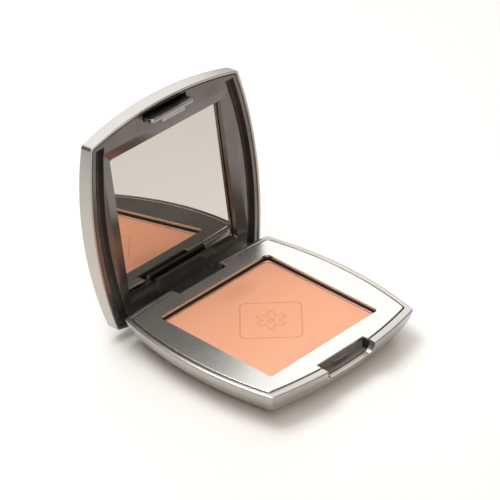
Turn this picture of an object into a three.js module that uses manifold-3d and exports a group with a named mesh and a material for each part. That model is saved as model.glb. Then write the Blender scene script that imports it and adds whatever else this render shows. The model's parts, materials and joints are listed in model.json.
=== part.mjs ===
// A pressed-powder compact with a mirror lid, standing open on its flat underside.
// Millimetres, +Z up, +X to the right, the hinge at the rear (+Y) and the latch at the front (-Y).
// The origin is the centre of the flat underside. The lid is drawn closed and then swung open.

import * as THREE from 'three';
import { mergeVertices } from 'three/addons/utils/BufferGeometryUtils.js';
import Module from 'manifold-3d';

const wasm = await Module();
wasm.setup();

// ---- Driving dimensions ----

// Outline: a square whose four sides bow outwards between its corners.
const cornerSpan = 70; // between neighbouring corners
const sideBow = 4.3;
const frontBow = 5;
const baseRearBow = 1.7; // nearly straight, so that the open lid clears it
const lidRearBow = 4.3;
const cornerRound = 1.5;
const sideSteps = 14;
const cornerSteps = 4;
const roundSteps = 48; // facets of a full circle

// Base
const deckHeight = 12; // underside to deck
const shellWall = 1.5;
const shellFloor = 1.4;
const shellBend = 5; // where the shell's inside turns from wall to floor
const undercutSteps = 8;
const undercut = 10; // how far the underside stands in from the rim
const undercutSlope = 2.4; // the straight share of that, the rest is a quarter round
const rimWidth = 2; // at the sides and rear
const frontRimWidth = 3.2;
const groove = 0.35; // the dark line between rim and deck
const deckThickness = 0.9;
const flangeThickness = 1.2;
const seatWidth = 1.6; // the shelf that carries the tray's flange

// Pan and powder
const panOpening = 52.7;
const panOpeningRound = 1.5;
const panDrop = 1.9; // deck to the pan's edge
const panDepth = 4;
const panWall = 0.4;
const powderDrop = 0.3; // pan's edge to the powder
const powderRound = 2;
const powderEase = 0.3; // chamfer round the pressed cake
const wellWall = 1.2;
const wellFloor = 1;
const glueRadius = 12;
const glueThickness = 0.3;
const footRadius = 2;
const footInset = 6; // from the well's outer side to a foot's centre

// Lid
const lidRim = 1; // width of the rim's edge
const lidCentreDepth = 8.95; // rim to the top of the domed back
const lidCornerDepth = 5.2; // rim to the back at a corner
const lidSkin = 1.1;
const domeRings = [0.3, 0.6, 0.85]; // how far out from the middle each ring of the back lies
const rimChamfer = 0.25;
const backChamfer = 0.5;
const frameSetback = 0.25; // mirror frame's face behind the rim's edge
const frameThickness = 3.75;
const frameWall = 1.5; // round the mirror, behind the frame's face
const frameSkin = 0.6; // behind the mirror
const mirrorWidth = 52.2;
const mirrorHeight = 53.6;
const mirrorShift = 0.44; // mirror's centre towards the hinge
const mirrorDepth = 3.3; // rim to the glass
const mirrorStep = 1.95; // the upright wall round the glass, below the slope
const mirrorSlope = 4.4; // how much the recess widens from that wall to the rim
const mirrorRound = 1;
const glassThickness = 0.8;
const glassBevel = 0.4;
const tapeThickness = 0.25;
const tapeMargin = 4;
const channelInset = 2.8; // rim's outside to the channel
const channelWidth = 3.6;
const channelReach = 33; // half its length
const channelDepth = 3;
const tabWidth = 27;
const tabReach = 1.9; // over the mirror's edge
const tabThickness = 1.6;

// Hinge
const openAngle = 96.3; // degrees from closed
const pivotInset = 1.3; // ahead of the rear corners
const pivotDrop = 4.7; // below the deck
const notchWidth = 23.6;
const knuckleRadius = 3;
const webReach = 2.4; // behind the pivot
const webFront = 1.7; // ahead of the pivot
const pinRadius = 0.75;
const earWidth = 4;
const pinGrip = 3.6; // the pin's length inside each ear

// Latch
const hookWidth = 20;
const hookThickness = 1.4;
const hookStand = 4.1; // proud of the lid's rim
const hookRound = 1.2;
const hookPlay = 1.2; // in the slot, on the side away from the mirror
const toothWidth = 11;
const toothReach = 1.2;
const toothHeight = 0.8;
const nibWidth = 6.6;
const nibReach = 0.8; // the catch's ridge, which the tooth snaps under
const nibHeight = 0.75;
const windowPlay = 1.5; // beside the hook, at each end of the window in the front wall
const ledgePlay = 0.1; // under the closed hook's tip
const windowRound = 2.6;
const catchFace = 6.9; // outline's front to the catch's upright face
const catchThickness = 1.2;
const catchLip = 0.8; // gap between the catch's floor and the front wall
const catchTravel = 1;
const cheekThickness = 1.2;
const springRadius = 0.75;
const springWire = 0.2;
const springTurns = 5;
const springSpread = 7; // each spring from the middle
const springSteps = 10; // per turn

// Label
const labelRadius = 8.5;
const labelThickness = 0.15;
const labelRecess = 0.4;
const labelShift = 14; // ahead of the origin, so that the origin lies on the shell

// Clearances
const gap = 0.15; // between faces that are glued or stacked
const fitGap = 0.3; // between pieces set into each other
const parting = 0.3; // between the closed lid's rim and the deck
const swing = 0.4; // round the hinge's moving pieces

// ---- Places worked out from them ----

const half = cornerSpan / 2;
const pivotY = half - pivotInset;
const pivotZ = deckHeight - pivotDrop;
const rimZ = deckHeight + parting; // the closed lid's rim
const front = -(half + frontBow);
const over = 2; // how far a cutter runs past what it cuts
const sink = 1; // how far one solid runs into another that it is joined to

const baseShape = { bows: [frontBow, sideBow, baseRearBow, sideBow] };
const lidShape = { bows: [frontBow, sideBow, lidRearBow, sideBow] };

// ---- Outlines ----

// One bowed side as an arc: its centre and radius. Sides run front, right, rear, left.
function sideArc(shape, side) {
  const corners = [[-half, -half], [half, -half], [half, half], [-half, half]];
  const start = new THREE.Vector2(...corners[side]);
  const end = new THREE.Vector2(...corners[(side + 1) % 4]);
  const bow = shape.bows[side];
  const radius = (half * half + bow * bow) / (2 * bow);
  const along = end.clone().sub(start).normalize();
  const inward = new THREE.Vector2(-along.y, along.x);
  const centre = start.clone().add(end).multiplyScalar(0.5).addScaledVector(inward, radius - bow);
  return { centre, radius, start };
}

// Where two arcs cross, on the side nearest to a given point.
function crossing(a, radiusA, b, radiusB, near) {
  const between = b.clone().sub(a);
  const distance = between.length();
  const along = (distance * distance + radiusA * radiusA - radiusB * radiusB) / (2 * distance);
  const across = Math.sqrt(radiusA * radiusA - along * along);
  const unit = between.divideScalar(distance);
  const foot = a.clone().addScaledVector(unit, along);
  const normal = new THREE.Vector2(-unit.y, unit.x);
  const choices = [across, -across].map((reach) => foot.clone().addScaledVector(normal, reach));
  return choices.sort((p, q) => p.distanceTo(near) - q.distanceTo(near))[0];
}

// Points on an arc from one direction to another, the first included and the last left out.
function arcPoints(centre, radius, from, to, steps) {
  const startAngle = Math.atan2(from.y - centre.y, from.x - centre.x);
  const endAngle = Math.atan2(to.y - centre.y, to.x - centre.x);
  const turn = ((endAngle - startAngle + 3 * Math.PI) % (2 * Math.PI)) - Math.PI;
  return Array.from({ length: steps }, (_, i) => {
    const angle = startAngle + (turn * i) / steps;
    return new THREE.Vector2(centre.x + radius * Math.cos(angle), centre.y + radius * Math.sin(angle));
  });
}

// The bowed square, moved in by one inset or by one for each side, counter-clockwise from above.
function outline(shape, inset, round = cornerRound) {
  const insets = Array.isArray(inset) ? inset : [inset, inset, inset, inset];
  const arcs = [0, 1, 2, 3].map((side) => sideArc(shape, side));
  const reach = (side, extra) => arcs[side].radius - insets[side] - extra;
  const rounds = arcs.map((arc, side) => {
    const before = (side + 3) % 4;
    return crossing(arcs[before].centre, reach(before, round), arc.centre, reach(side, round), arc.start);
  });
  const touch = (side, point) => {
    const away = point.clone().sub(arcs[side].centre).setLength(reach(side, 0));
    return arcs[side].centre.clone().add(away);
  };
  return arcs.flatMap((arc, side) => {
    const next = (side + 1) % 4;
    const from = touch(side, rounds[side]);
    const to = touch(side, rounds[next]);
    const after = touch(next, rounds[next]);
    return [
      ...arcPoints(arc.centre, reach(side, 0), from, to, sideSteps),
      ...arcPoints(rounds[next], round, to, after, cornerSteps),
    ];
  });
}

// A flat outline lifted to a height, or to a height that depends on the place.
function ring(points, height) {
  const level = typeof height === 'function' ? height : () => height;
  return points.map((p) => new THREE.Vector3(p.x, p.y, level(p.x, p.y)));
}

function scaled(points, factor) {
  return points.map((p) => p.clone().multiplyScalar(factor));
}

// ---- Solids ----

// A closed skin through rings of equal length, its first and last ring closed by fans.
function skin(rings, firstHeight, lastHeight) {
  const count = rings[0].length;
  const vertices = rings.flat().flatMap((p) => [p.x, p.y, p.z]);
  const index = [];
  for (let r = 0; r < rings.length - 1; r += 1) {
    for (let i = 0; i < count; i += 1) {
      const a = r * count + i;
      const b = r * count + ((i + 1) % count);
      index.push(a, b, b + count, a, b + count, a + count);
    }
  }
  const middle = (points, height) => {
    const sum = points.reduce((total, p) => total.add(p), new THREE.Vector3());
    sum.divideScalar(count);
    vertices.push(sum.x, sum.y, height === undefined ? sum.z : height);
    return vertices.length / 3 - 1;
  };
  const first = middle(rings[0], firstHeight);
  const last = middle(rings[rings.length - 1], lastHeight);
  const top = (rings.length - 1) * count;
  for (let i = 0; i < count; i += 1) {
    index.push(first, (i + 1) % count, i);
    index.push(last, top + i, top + ((i + 1) % count));
  }
  const geometry = new THREE.BufferGeometry();
  geometry.setAttribute('position', new THREE.Float32BufferAttribute(vertices, 3));
  geometry.setIndex(index);
  return solid(geometry);
}

function solid(geometry) {
  const bare = geometry.clone();
  bare.deleteAttribute('normal');
  bare.deleteAttribute('uv');
  const merged = mergeVertices(bare);
  return new wasm.Manifold(new wasm.Mesh({
    numProp: 3,
    vertProperties: new Float32Array(merged.attributes.position.array),
    triVerts: new Uint32Array(merged.index.array),
  }));
}

function geometryOf(body) {
  const mesh = body.getMesh();
  const geometry = new THREE.BufferGeometry();
  geometry.setAttribute('position', new THREE.BufferAttribute(mesh.vertProperties, 3));
  geometry.setIndex(new THREE.BufferAttribute(mesh.triVerts, 1));
  geometry.computeVertexNormals();
  return geometry;
}

function block([x0, x1], [y0, y1], [z0, z1]) {
  const geometry = new THREE.BoxGeometry(x1 - x0, y1 - y0, z1 - z0);
  return solid(geometry.translate((x0 + x1) / 2, (y0 + y1) / 2, (z0 + z1) / 2));
}

function both(halfWidth) {
  return [-halfWidth, halfWidth];
}

// A rectangle with round corners, as points, counter-clockwise.
function roundedRectangle(width, height, round, shiftY = 0) {
  const x = width / 2 - round;
  const y = height / 2 - round;
  const centres = [[x, -y, -90], [x, y, 0], [-x, y, 90], [-x, -y, 180]];
  return centres.flatMap(([cx, cy, start]) => Array.from({ length: cornerSteps + 1 }, (_, i) => {
    const angle = THREE.MathUtils.degToRad(start + (90 * i) / cornerSteps);
    return new THREE.Vector2(cx + round * Math.cos(angle), cy + shiftY + round * Math.sin(angle));
  }));
}

function prism(points, low, high) {
  return skin([ring(points, low), ring(points, high)]);
}

// An outline drawn in X and Z, given its thickness along Y.
function upright(points, [y0, y1]) {
  const shape = new THREE.Shape(points);
  const geometry = new THREE.ExtrudeGeometry(shape, { depth: y1 - y0, bevelEnabled: false });
  return solid(geometry.rotateX(Math.PI / 2).translate(0, y1, 0));
}

function disc(radius, x, y, low, high) {
  const geometry = new THREE.CylinderGeometry(radius, radius, high - low, roundSteps);
  return solid(geometry.rotateX(Math.PI / 2).translate(x, y, (low + high) / 2));
}

// A rod along X.
function rod(radius, [x0, x1], y, z) {
  const geometry = new THREE.CylinderGeometry(radius, radius, x1 - x0, roundSteps);
  return solid(geometry.rotateZ(Math.PI / 2).translate((x0 + x1) / 2, y, z));
}

function join(...bodies) {
  return bodies.reduce((whole, body) => whole.add(body));
}

function cut(body, ...tools) {
  return tools.reduce((rest, tool) => rest.subtract(tool), body);
}

// ---- Base ----

const rims = [frontRimWidth, rimWidth, rimWidth, rimWidth];
const inFrom = (widths, extra) => widths.map((width) => width + extra);
const flangeTop = deckHeight - deckThickness - gap;
const seatZ = flangeTop - flangeThickness - gap;

// How far the base's side has drawn in at a depth below the rim.
function drawIn(depth) {
  const share = depth / deckHeight;
  const roundPart = (undercut - undercutSlope) * (1 - Math.sqrt(1 - Math.min(1, share * share)));
  return undercutSlope * share + roundPart;
}

// What the swinging lid must not meet: everything further from the pivot than the deck is.
function rearEdgeCutter() {
  const wide = both(cornerSpan);
  const corner = block(wide, [pivotY, pivotY + 2 * pivotDrop], [pivotZ, deckHeight + over]);
  return cut(corner, rod(pivotDrop, both(cornerSpan + over), pivotY, pivotZ));
}

const notchHalf = notchWidth / 2;
const flangeAbovePivot = seatZ + gap - pivotZ;
const knuckleAtFlange = Math.sqrt(Math.max(0, knuckleRadius ** 2 - flangeAbovePivot ** 2));
const notchFront = pivotY - Math.max(knuckleAtFlange, webFront) - swing;
const notchFloor = pivotZ - knuckleRadius - swing;

function hingeNotchCutter() {
  const deckPart = block(both(notchHalf), [notchFront, pivotY], [seatZ, deckHeight + over]);
  const rearPart = block(
    both(notchHalf),
    [pivotY - knuckleRadius - swing, half + baseRearBow + over],
    [notchFloor, seatZ + over],
  );
  const above = block(both(notchHalf), [pivotY, half + baseRearBow + over], [seatZ, deckHeight + over]);
  return { deckPart: join(deckPart, above), rearPart: join(rearPart, above) };
}

const windowHalf = hookWidth / 2 + windowPlay;
const windowDepth = hookStand - parting + ledgePlay; // deck to the window's ledge
const catchY = front + catchFace; // the catch's upright face
const hookTip = rimZ - hookStand;
const hookRear = catchY - swing - toothReach;
const hookFront = hookRear - hookThickness;
const catchFloorTop = hookTip - swing;
const catchFloorBase = catchFloorTop - catchThickness;
const catchRear = catchY + catchThickness;
const pocketRear = catchRear + catchTravel + fitGap;
const pocketFloor = catchFloorBase - fitGap;

function latchPocketCutter() {
  const inside = prism(outline(baseShape, rims), pocketFloor, deckHeight + over);
  const wide = windowHalf + cheekThickness + fitGap;
  return inside.intersect(block(both(wide), [front, pocketRear], [pocketFloor, deckHeight + over]));
}

function makeBaseShell() {
  const outer = Array.from({ length: undercutSteps }, (_, i) => {
    const depth = deckHeight * Math.cos((Math.PI * i) / (2 * undercutSteps));
    return ring(outline(baseShape, drawIn(depth)), deckHeight - depth);
  });
  const chamferTop = drawIn(rimChamfer);
  outer.push(ring(outline(baseShape, chamferTop), deckHeight - rimChamfer));
  outer.push(ring(outline(baseShape, chamferTop + rimChamfer), deckHeight));
  const wallAt = (depth) => inFrom(rims, seatWidth).map((seat) => Math.max(seat, drawIn(depth) + shellWall));
  const inner = [
    ring(outline(baseShape, rims), deckHeight),
    ring(outline(baseShape, rims), seatZ),
    ring(outline(baseShape, inFrom(rims, seatWidth)), seatZ),
    ring(outline(baseShape, wallAt(deckHeight - shellBend)), shellBend),
    ring(outline(baseShape, wallAt(deckHeight - shellFloor)), shellFloor),
  ];
  const cup = skin([...outer, ...inner]);
  const envelope = skin(outer);

  const earFront = pivotY - knuckleRadius - swing;
  const ears = [-1, 1].map((side) => {
    const xs = [side * notchHalf, side * (notchHalf + earWidth)].sort((a, b) => a - b);
    return block(xs, [earFront, half], [0, seatZ]).intersect(envelope);
  });
  const shelf = block(both(windowHalf), [front, catchRear], [0, pocketFloor]).intersect(envelope);
  const window = upright(
    roundedRectangle(2 * windowHalf, 2 * windowDepth, windowRound, deckHeight),
    [front - over, catchY],
  );
  const bore = rod(pinRadius + fitGap, both(notchHalf + pinGrip + fitGap), pivotY, pivotZ);
  const labelPocket = disc(labelRadius + fitGap, 0, -labelShift, -over, labelRecess);
  const whole = join(cup, ...ears, shelf);
  return cut(
    whole,
    rearEdgeCutter(),
    hingeNotchCutter().rearPart,
    latchPocketCutter(),
    window,
    bore,
    labelPocket,
  );
}

function makeDeckPlate() {
  const plate = prism(outline(baseShape, inFrom(rims, groove)), deckHeight - deckThickness, deckHeight);
  const opening = prism(
    roundedRectangle(panOpening, panOpening, panOpeningRound),
    deckHeight - deckThickness - over,
    deckHeight + over,
  );
  const latchNotch = block(both(windowHalf), [front, catchY], [seatZ, deckHeight + over]);
  return cut(plate, opening, rearEdgeCutter(), hingeNotchCutter().deckPart, latchNotch);
}

const panTop = deckHeight - panDrop;
const panBottom = panTop - panDepth;
const wellFloorTop = panBottom - glueThickness - 2 * gap;
const wellFloorBase = wellFloorTop - wellFloor;
const wellOuter = panOpening / 2 + wellWall;

function makeInnerTray() {
  const flange = prism(outline(baseShape, inFrom(rims, groove)), flangeTop - flangeThickness, flangeTop);
  const wellBody = block(both(wellOuter), both(wellOuter), [wellFloorBase, flangeTop]);
  const well = prism(
    roundedRectangle(panOpening, panOpening, panOpeningRound),
    wellFloorTop,
    deckHeight + over,
  );
  const feet = [-1, 1].flatMap((sx) => [-1, 1].map((sy) => {
    const at = wellOuter - footInset;
    return disc(footRadius, sx * at, sy * at, shellFloor + gap, wellFloorBase + wellFloor / 2);
  }));
  const cheekRear = pocketRear + cheekThickness;
  const cheekSpan = outline(baseShape, inFrom(rims, groove));
  const cheeks = [-1, 1].map((side) => {
    const xs = [side * windowHalf, side * (windowHalf + cheekThickness)].sort((a, b) => a - b);
    const tall = block(xs, [front, cheekRear], [catchFloorBase, flangeTop]);
    return tall.intersect(prism(cheekSpan, catchFloorBase - over, flangeTop));
  });
  const pocket = block(both(windowHalf), [front, pocketRear], [wellFloorBase, deckHeight + over]);
  return cut(
    join(flange, wellBody, ...feet, ...cheeks),
    well,
    pocket,
    rearEdgeCutter(),
    hingeNotchCutter().deckPart,
  );
}

const panWidth = panOpening - 2 * fitGap;
const powderWidth = panWidth - 2 * (panWall + gap);

function makePowderPan() {
  const outside = prism(roundedRectangle(panWidth, panWidth, powderRound + panWall), panBottom, panTop);
  const insideWidth = panWidth - 2 * panWall;
  const inside = roundedRectangle(insideWidth, insideWidth, powderRound);
  return cut(outside, prism(inside, panBottom + panWall, panTop + over));
}

// The cake's top edge is eased, as pressed powder is.
function makePowderCake() {
  const top = panTop - powderDrop;
  const eased = powderWidth - 2 * powderEase;
  return skin([
    ring(roundedRectangle(powderWidth, powderWidth, powderRound), panBottom + panWall + gap),
    ring(roundedRectangle(powderWidth, powderWidth, powderRound), top - powderEase),
    ring(roundedRectangle(eased, eased, powderRound), top),
  ]);
}

function makePanGlue() {
  return disc(glueRadius, 0, 0, wellFloorTop + gap, panBottom - gap);
}

function makeBaseLabel() {
  return disc(labelRadius, 0, -labelShift, labelRecess - gap - labelThickness, labelRecess - gap);
}

// ---- Latch ----

// An L of floor and upright wall; the wall's nib holds the hook's tooth down.
function makeLatchCatch() {
  const width = both(windowHalf - fitGap);
  const wall = block(width, [catchY, catchRear], [catchFloorBase, deckHeight - deckThickness - gap]);
  const floor = block(width, [front, catchRear], [catchFloorBase, catchFloorTop]);
  const reach = prism(
    outline(baseShape, inFrom(rims, catchLip)),
    catchFloorBase - over,
    deckHeight + over,
  );
  const nibBase = hookTip + toothHeight + gap;
  const nib = block(both(nibWidth / 2), [catchY - nibReach, catchY + gap], [nibBase, nibBase + nibHeight]);
  return join(wall, floor.intersect(reach), nib);
}

// A compression coil that lies along Y between the catch and the tray's well.
function makeCatchSpring(side) {
  const start = catchRear + gap + springWire;
  const length = -wellOuter - gap - springWire - start;
  const steps = springTurns * springSteps;
  const centreZ = pocketFloor + gap + springRadius + springWire;
  const points = Array.from({ length: steps + 1 }, (_, i) => {
    const angle = (2 * Math.PI * i) / springSteps;
    return new THREE.Vector3(
      side * springSpread + springRadius * Math.cos(angle),
      start + (length * i) / steps,
      centreZ + springRadius * Math.sin(angle),
    );
  });
  const wire = new THREE.Shape();
  wire.absarc(0, 0, springWire, 0, 2 * Math.PI);
  const path = new THREE.CatmullRomCurve3(points);
  return solid(new THREE.ExtrudeGeometry(wire, { steps, extrudePath: path, curveSegments: 3 }));
}

function makeHingePin() {
  return rod(pinRadius, both(notchHalf + pinGrip), pivotY, pivotZ);
}

// ---- Lid, drawn closed ----

// Height of the domed back over a place on the rim plane.
function domeZ(x, y) {
  const fall = (lidCentreDepth - lidCornerDepth) * ((x * x + y * y) / (2 * half * half));
  return rimZ + lidCentreDepth - fall;
}

function makeLidShell() {
  const wall = outline(lidShape, 0);
  const backEdge = outline(lidShape, backChamfer);
  const inside = outline(lidShape, lidRim);
  const ceiling = (x, y) => domeZ(x, y) - lidSkin;
  return skin(
    [
      ...domeRings.map((share) => ring(scaled(inside, share), ceiling)),
      ring(inside, ceiling),
      ring(inside, rimZ),
      ring(outline(lidShape, rimChamfer), rimZ),
      ring(wall, rimZ + rimChamfer),
      ring(wall, (x, y) => domeZ(x, y) - backChamfer),
      ring(backEdge, domeZ),
      ...domeRings.toReversed().map((share) => ring(scaled(backEdge, share), domeZ)),
    ],
    ceiling(0, 0),
    domeZ(0, 0),
  );
}

const frameFace = rimZ + frameSetback;
const glassFace = rimZ + mirrorDepth;
const glassBack = glassFace + glassThickness;
const frameFloor = glassBack + tapeThickness + 2 * gap;

// One of the two bowed channels: a strip between two arcs that follow the lid's side.
function channelCutter(side) {
  const arc = sideArc(lidShape, side);
  const strip = (inset, direction) => {
    const radius = arc.radius - inset;
    const sweep = Math.asin(channelReach / radius) * direction;
    return Array.from({ length: sideSteps + 1 }, (_, i) => {
      const angle = sweep * ((2 * i) / sideSteps - 1);
      return new THREE.Vector2(radius * Math.cos(angle), radius * Math.sin(angle));
    });
  };
  const points = [...strip(channelInset, 1), ...strip(channelInset + channelWidth, -1)];
  const shape = new THREE.Shape(points);
  const depth = channelDepth + over;
  const geometry = new THREE.ExtrudeGeometry(shape, { depth, bevelEnabled: false });
  const turn = side === 1 ? 0 : Math.PI;
  return solid(geometry.rotateZ(turn).translate(arc.centre.x, 0, frameFace - over));
}

function mirrorRecessCutter() {
  const outlineAt = (extra) => roundedRectangle(
    mirrorWidth + 2 * extra,
    mirrorHeight + 2 * extra,
    mirrorRound,
    mirrorShift,
  );
  return skin([
    ring(outlineAt(mirrorSlope), frameFace - over),
    ring(outlineAt(mirrorSlope), frameFace),
    ring(outlineAt(fitGap), glassFace - mirrorStep),
    ring(outlineAt(fitGap), frameFloor),
  ]);
}

const hookFoot = rimZ + mirrorDepth;

function makeMirrorFrame() {
  const edge = lidRim + fitGap;
  const plate = prism(outline(lidShape, edge), frameFace, frameFace + frameThickness);
  const boxWidth = mirrorWidth / 2 + frameWall;
  const boxHeight = mirrorHeight / 2 + frameWall;
  const seat = block(
    both(boxWidth),
    [mirrorShift - boxHeight, mirrorShift + boxHeight],
    [frameFace + sink, frameFloor + frameSkin],
  );
  const mirrorEdge = mirrorShift + mirrorHeight / 2;
  const tab = block(
    both(tabWidth / 2),
    [mirrorEdge - tabReach, mirrorEdge + mirrorSlope + sink],
    [frameFace, frameFace + tabThickness],
  );
  const knuckleSpan = both(notchHalf - swing);
  const web = block(knuckleSpan, [pivotY - webFront, pivotY + webReach], [pivotZ, frameFace + sink]);
  const knuckle = rod(knuckleRadius, knuckleSpan, pivotY, pivotZ);
  const bore = rod(pinRadius + fitGap, both(notchHalf), pivotY, pivotZ);
  const hookSlot = block(
    both(hookWidth / 2 + fitGap),
    [hookFront - hookPlay, hookRear + fitGap],
    [frameFace - over, hookFoot + fitGap],
  );
  const opened = cut(join(plate, seat), mirrorRecessCutter(), channelCutter(1), channelCutter(3), hookSlot);
  return cut(join(opened, tab, web, knuckle), bore);
}

function makeMirrorGlass() {
  const rectangle = (less) => roundedRectangle(
    mirrorWidth - 2 * less,
    mirrorHeight - 2 * less,
    mirrorRound,
    mirrorShift,
  );
  return skin([
    ring(rectangle(glassBevel), glassFace),
    ring(rectangle(0), glassFace + glassBevel),
    ring(rectangle(0), glassBack),
  ]);
}

function makeMirrorTape() {
  const width = mirrorWidth - 2 * tapeMargin;
  const height = mirrorHeight - 2 * tapeMargin;
  return prism(
    roundedRectangle(width, height, mirrorRound, mirrorShift),
    glassBack + gap,
    glassBack + gap + tapeThickness,
  );
}

// The hook plate, with the tooth at its free edge that snaps under the catch's nib.
function makeLidHook() {
  const height = hookFoot - hookTip;
  const plate = upright(
    roundedRectangle(hookWidth, height, hookRound, hookTip + height / 2),
    [hookFront, hookRear],
  );
  const tooth = block(
    both(toothWidth / 2),
    [hookRear - hookThickness / 2, hookRear + toothReach],
    [hookTip, hookTip + toothHeight],
  );
  return join(plate, tooth);
}

// ---- Assembly ----

const silver = { color: 0xc9c6c0, roughness: 0.38, metalness: 0.85 };
const smoke = { color: 0x4a4340, roughness: 0.35, metalness: 0.45 };

function named(name, body, look) {
  const mesh = new THREE.Mesh(geometryOf(body), new THREE.MeshStandardMaterial(look));
  mesh.name = name;
  return mesh;
}

const compact = new THREE.Group();
compact.add(
  named('base_shell', makeBaseShell(), silver),
  named('deck_plate', makeDeckPlate(), { color: 0xd8d4cd, roughness: 0.3, metalness: 0.8 }),
  named('inner_tray', makeInnerTray(), { color: 0x2b2826, roughness: 0.5, metalness: 0 }),
  named('powder_pan', makePowderPan(), { color: 0xb9b4ac, roughness: 0.3, metalness: 0.95 }),
  named('powder_cake', makePowderCake(), { color: 0xf0b48f, roughness: 0.95, metalness: 0 }),
  named('pan_glue', makePanGlue(), { color: 0xe9e4d4, roughness: 0.6, metalness: 0 }),
  named('base_label', makeBaseLabel(), { color: 0xe2dfda, roughness: 0.6, metalness: 0 }),
  named('latch_catch', makeLatchCatch(), { color: 0x45403d, roughness: 0.45, metalness: 0.1 }),
  named('catch_spring_left', makeCatchSpring(-1), { color: 0xa9a9a9, roughness: 0.3, metalness: 0.95 }),
  named('catch_spring_right', makeCatchSpring(1), { color: 0xa9a9a9, roughness: 0.3, metalness: 0.95 }),
  named('hinge_pin', makeHingePin(), { color: 0xb5b5b5, roughness: 0.25, metalness: 0.95 }),
);

const lid = new THREE.Group();
const lidPieces = [
  named('lid_shell', makeLidShell(), silver),
  named('mirror_frame', makeMirrorFrame(), smoke),
  named('mirror_glass', makeMirrorGlass(), { color: 0xd6d3cd, roughness: 0.03, metalness: 1 }),
  named('mirror_tape', makeMirrorTape(), { color: 0xdedad0, roughness: 0.8, metalness: 0 }),
  named('lid_hook', makeLidHook(), { color: 0xe4e2de, roughness: 0.15, metalness: 0.95 }),
];
for (const piece of lidPieces) {
  piece.position.set(0, -pivotY, -pivotZ);
  lid.add(piece);
}
lid.position.set(0, pivotY, pivotZ);
lid.rotation.x = -THREE.MathUtils.degToRad(openAngle);
compact.add(lid);

export default compact;
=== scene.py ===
# %% [markdown]
# # A pressed-powder compact, standing open
# The compact is a flat square case with bowed sides. Its lid carries a mirror and swings on a
# hinge at the rear, and its base carries a metal pan of pressed powder under a silver deck.
# The frame below is the measured model: it gives each piece its place. This script only gives
# the pieces their fine shape and their finish, so every position is worked out from the frame.

import json
import math

import bmesh
import bpy
from mathutils import Matrix, Vector, noise


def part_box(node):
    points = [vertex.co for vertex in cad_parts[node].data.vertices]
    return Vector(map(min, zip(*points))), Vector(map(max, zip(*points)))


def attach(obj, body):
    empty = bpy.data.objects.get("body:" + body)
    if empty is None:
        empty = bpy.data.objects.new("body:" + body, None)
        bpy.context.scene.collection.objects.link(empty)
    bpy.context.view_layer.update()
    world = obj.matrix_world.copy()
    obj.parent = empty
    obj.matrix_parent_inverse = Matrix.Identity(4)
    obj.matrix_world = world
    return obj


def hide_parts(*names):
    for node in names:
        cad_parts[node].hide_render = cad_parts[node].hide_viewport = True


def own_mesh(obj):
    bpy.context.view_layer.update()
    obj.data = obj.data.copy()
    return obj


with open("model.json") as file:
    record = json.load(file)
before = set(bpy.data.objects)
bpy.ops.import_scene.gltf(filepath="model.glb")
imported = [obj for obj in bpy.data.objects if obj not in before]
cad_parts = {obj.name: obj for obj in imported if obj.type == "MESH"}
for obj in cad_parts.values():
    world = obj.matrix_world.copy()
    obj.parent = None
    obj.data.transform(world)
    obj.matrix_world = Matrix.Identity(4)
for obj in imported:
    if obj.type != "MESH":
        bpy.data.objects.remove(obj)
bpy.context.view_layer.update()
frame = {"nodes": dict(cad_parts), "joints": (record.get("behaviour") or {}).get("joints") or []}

# %% [markdown]
# ## The camera
# A long lens from well away keeps the sides of the case nearly parallel, as a catalogue view does.
# The camera is set by two angles round the middle of the deck, and then moved a little sideways
# and up, so that the open lid fits in the picture. A slight roll levels the case.

# %% Place the camera
AZIMUTH = math.radians(-44.86)
ELEVATION = math.radians(34.25)
DISTANCE = 1.1383
SIDEWAYS = -0.0057
UPWARDS = 0.02193
ROLL = math.radians(-2.06)
LENS = 240.1

deck_middle = Vector((0, 0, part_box("deck_plate")[1].z))
towards_camera = Vector((
    math.sin(AZIMUTH) * math.cos(ELEVATION),
    -math.cos(AZIMUTH) * math.cos(ELEVATION),
    math.sin(ELEVATION),
))
to_the_right = Vector((math.cos(AZIMUTH), math.sin(AZIMUTH), 0))
upright = towards_camera.cross(to_the_right)
stand = deck_middle + towards_camera * DISTANCE
aim = deck_middle + to_the_right * SIDEWAYS + upright * UPWARDS

back = (stand - aim).normalized()
across = upright.cross(back).normalized()
turn = Matrix((across, back.cross(across), back)).transposed().to_4x4()
camera = bpy.data.objects.new("camera", bpy.data.cameras.new("camera"))
camera.data.lens = LENS
camera.data.clip_start = 0.01
camera.matrix_world = Matrix.Translation(stand) @ turn @ Matrix.Rotation(ROLL, 4, "Z")
bpy.context.scene.collection.objects.link(camera)
bpy.context.scene.camera = camera
print("the camera stands at", stand)

# %% [markdown]
# ## Working in millimetres
# Blender counts in metres, and this case is held together by tenths of a millimetre. It is easier
# to read 0.3 than 0.0003, so each mesh is drawn in millimetres and scaled down once, at its end.
# The lid is drawn closed, lying flat over the base, because its walls are then upright. One turn
# about the hinge opens it. The frame's joint says where the hinge is and how far it turns.

# %% Read the sizes of the frame
MM = 0.001
hinge = next(joint for joint in frame["joints"] if joint["name"] == "lid_hinge")
catch_slide = next(joint for joint in frame["joints"] if joint["name"] == "catch_slide")
PIVOT = Vector(hinge["pos_m"]) / MM
CLOSING = math.radians(hinge["range_deg"][0])


def hinge_turn(angle):
    """The turn of the lid by an angle about its hinge, in millimetres."""
    about = Matrix.Rotation(angle, 4, Vector(hinge["axis"]))
    return Matrix.Translation(PIVOT) @ about @ Matrix.Translation(-PIVOT)


def box(node):
    """The lowest and highest corner of a base piece."""
    low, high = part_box(node)
    return low / MM, high / MM


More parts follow.
